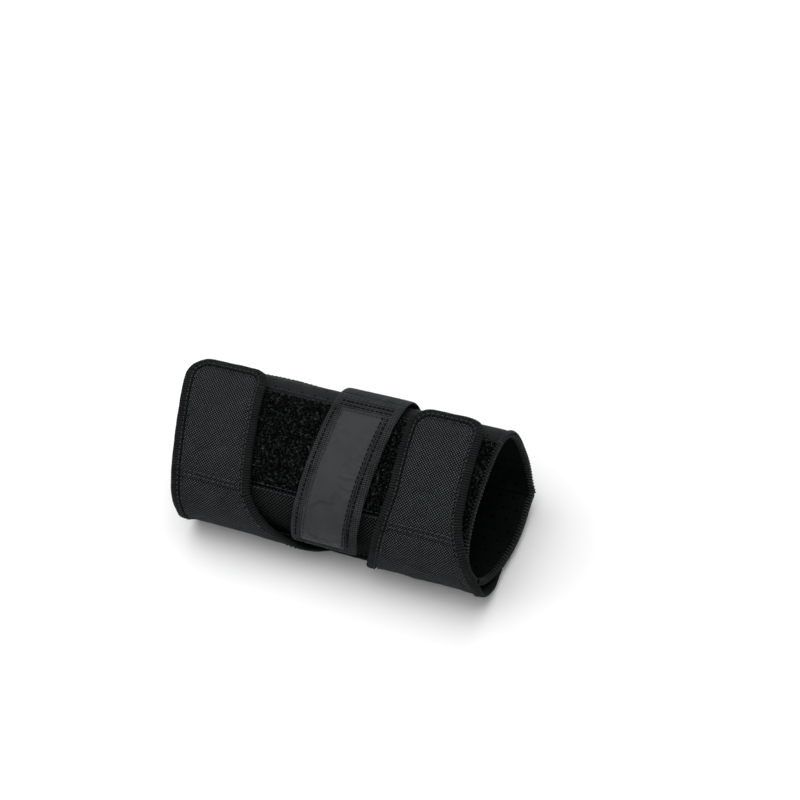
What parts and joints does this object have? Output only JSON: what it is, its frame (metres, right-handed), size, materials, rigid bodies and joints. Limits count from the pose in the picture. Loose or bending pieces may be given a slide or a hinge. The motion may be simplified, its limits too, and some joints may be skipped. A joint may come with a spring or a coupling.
{
  "type": "wrist guard",
  "caption": "Left-hand fabric wrist guard: padded sleeve with a thumb hole, stiffening splints, hook-and-loop closure flaps and an elastic wrist strap.",
  "frame": {"origin": "centre of the bounding box at floor level, palm side down", "axes": "+X from the finger end to the forearm end, +Y towards the thumb side, +Z out of the back of the hand"},
  "size_m": [0.224, 0.0988, 0.0829],
  "materials": {
    "neoprene": "matte perforated neoprene with a smooth jersey face",
    "ballistic_nylon": "coarse woven ballistic nylon, charcoal, slight sheen",
    "binding": "ribbed grosgrain binding tape",
    "loop_pile": "fuzzy loop pile",
    "hook_tape": "moulded nylon hook tape",
    "elastic": "woven elastic webbing",
    "label": "plain satin patch",
    "overlock_thread": "overlocked thread edge",
    "splint_plastic": "satin moulded plastic",
    "foam": "closed-cell foam"
  },
  "bodies": {
    "sleeve": {"dorsal_lining": "neoprene", "dorsal_splint": "splint_plastic", "dorsal_loop_panel": "loop_pile", "dorsal_edge_strip": "ballistic_nylon", "dorsal_hand_end_binding": "binding", "dorsal_forearm_end_binding": "binding", "palm_lining": "neoprene", "palm_pad": "foam", "palm_splint": "splint_plastic", "palm_shell": "ballistic_nylon", "thumb_panel": "neoprene", "thumb_hole_rim": "binding", "ulnar_panel": "ballistic_nylon", "notch_binding": "binding", "ulnar_hand_end_binding": "binding", "ulnar_forearm_end_binding": "binding", "hand_end_overlock": "overlock_thread", "forearm_end_overlock": "overlock_thread", "strap_anchor": "elastic"},
    "hand_flap": {"hand_flap_root": "ballistic_nylon", "hand_flap_root_binding_hand_side": "binding", "hand_flap_root_binding_forearm_side": "binding"},
    "hand_flap_tip": {"hand_flap_tip": "ballistic_nylon", "hand_flap_tip_binding": "binding", "hand_flap_hook": "hook_tape"},
    "forearm_flap": {"forearm_flap_root": "ballistic_nylon", "forearm_flap_root_binding_hand_side": "binding", "forearm_flap_root_binding_forearm_side": "binding"},
    "forearm_flap_tip": {"forearm_flap_tip": "ballistic_nylon", "forearm_flap_tip_binding": "binding", "forearm_flap_hook": "hook_tape"},
    "wrist_strap": {"wrist_strap_elastic": "elastic"},
    "strap_tab": {"strap_tab": "elastic", "strap_hook": "hook_tape", "strap_label": "label"}
  },
  "joints": [
    {"name": "hand_flap_swing", "type": "hinge", "parent": "sleeve", "child": "hand_flap", "pos_m": [-0.05931, -0.04877, 0.02503], "axis": [1, -0.0001, 0.0069], "range_deg": [0, 85]},
    {"name": "hand_flap_peel", "type": "hinge", "parent": "hand_flap", "child": "hand_flap_tip", "pos_m": [-0.07358, -0.03703, 0.05572], "axis": [1, -0.003, 0.0095], "range_deg": [0, 85]},
    {"name": "forearm_flap_swing", "type": "hinge", "parent": "sleeve", "child": "forearm_flap", "pos_m": [0.07186, -0.04879, 0.02593], "axis": [1, -0.0001, 0.0069], "range_deg": [0, 85]},
    {"name": "forearm_flap_peel", "type": "hinge", "parent": "forearm_flap", "child": "forearm_flap_tip", "pos_m": [0.0701, -0.03746, 0.05708], "axis": [1, -0.0029, 0.0094], "range_deg": [0, 85]},
    {"name": "wrist_strap_swing", "type": "hinge", "parent": "sleeve", "child": "wrist_strap", "pos_m": [0.01385, 0.04496, 0.02084], "axis": [-1, -0.0018, -0.0063], "range_deg": [0, 85]},
    {"name": "wrist_strap_peel", "type": "hinge", "parent": "wrist_strap", "child": "strap_tab", "pos_m": [0.01385, 0.03119, 0.08137], "axis": [-0.9999, -0.0039, -0.0124], "range_deg": [0, 85]}
  ]
}
